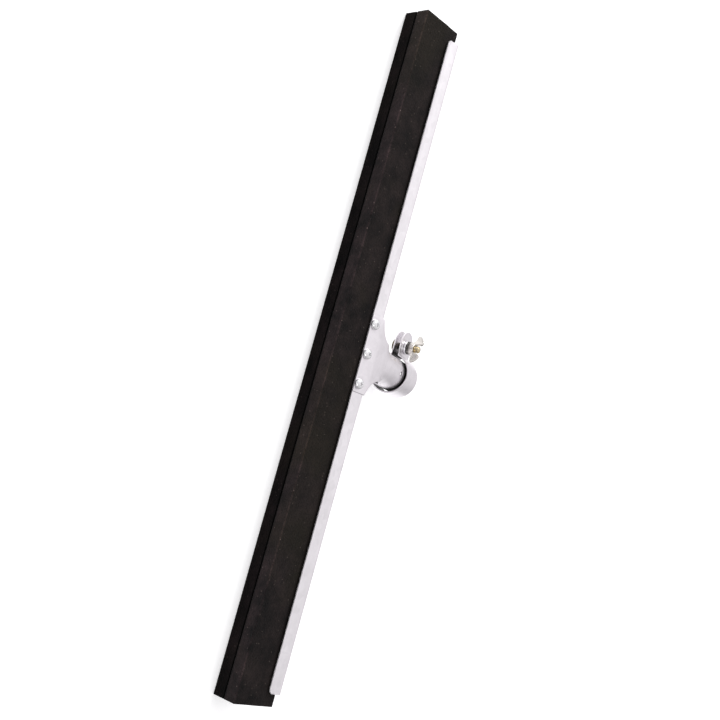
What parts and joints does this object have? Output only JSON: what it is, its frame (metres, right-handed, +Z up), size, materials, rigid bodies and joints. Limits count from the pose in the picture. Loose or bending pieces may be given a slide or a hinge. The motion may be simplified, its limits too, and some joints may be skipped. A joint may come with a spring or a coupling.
{
  "type": "floor squeegee head",
  "caption": "Floor squeegee head: twin foam-rubber lips in a folded steel channel, with a leaning two-shell handle socket and a wing-nut band clamp.",
  "frame": {"origin": "on the floor, under the middle of the head's box, with the head lying on its back", "axes": "+X along the blades, towards the end away from the wing nut; +Y from the blade tips to the socket's mouth; +Z up, the head's front face upwards"},
  "size_m": [0.55, 0.1294, 0.0379],
  "materials": {
    "foam_rubber": "matte open-pored foam",
    "galvanised_sheet": "pale satin galvanised",
    "pressed_sheet": "satin zinc over pressed sheet",
    "bright_zinc": "bright zinc plate",
    "nickel": "polished nickel plate",
    "yellow_zinc": "yellow passivated zinc"
  },
  "bodies": {
    "root": {"front_blade": "foam_rubber", "rear_blade": "foam_rubber", "frame_channel": "galvanised_sheet", "socket_front_shell": "pressed_sheet", "socket_rear_shell": "pressed_sheet", "clamp_band": "pressed_sheet", "clamp_bolt": "yellow_zinc", "frame_screw_left": "bright_zinc", "frame_screw_centre": "bright_zinc", "frame_screw_right": "bright_zinc", "frame_washer_left": "bright_zinc", "frame_washer_centre": "bright_zinc", "frame_washer_right": "bright_zinc", "frame_nut_left": "bright_zinc", "frame_nut_centre": "bright_zinc", "frame_nut_right": "bright_zinc"},
    "clamp_washer": {"clamp_washer": "bright_zinc"},
    "wing_nut": {"wing_nut": "nickel"}
  },
  "joints": [
    {"name": "washer_travel", "type": "slide", "parent": "root", "child": "clamp_washer", "axis": [0, 0.0707, 0.9975], "range_m": [0, 0.002]},
    {"name": "wing_nut_turn", "type": "hinge", "parent": "clamp_washer", "child": "wing_nut", "pos_m": [-0.0255, 0.04977, 0.01784], "axis": [0, 0.0707, 0.9975], "range_deg": [0, 720.1]}
  ],
  "couplings": [
    {"joint": "wing_nut_turn", "follows": "washer_travel", "rad_per_m": 6283.2}
  ]
}
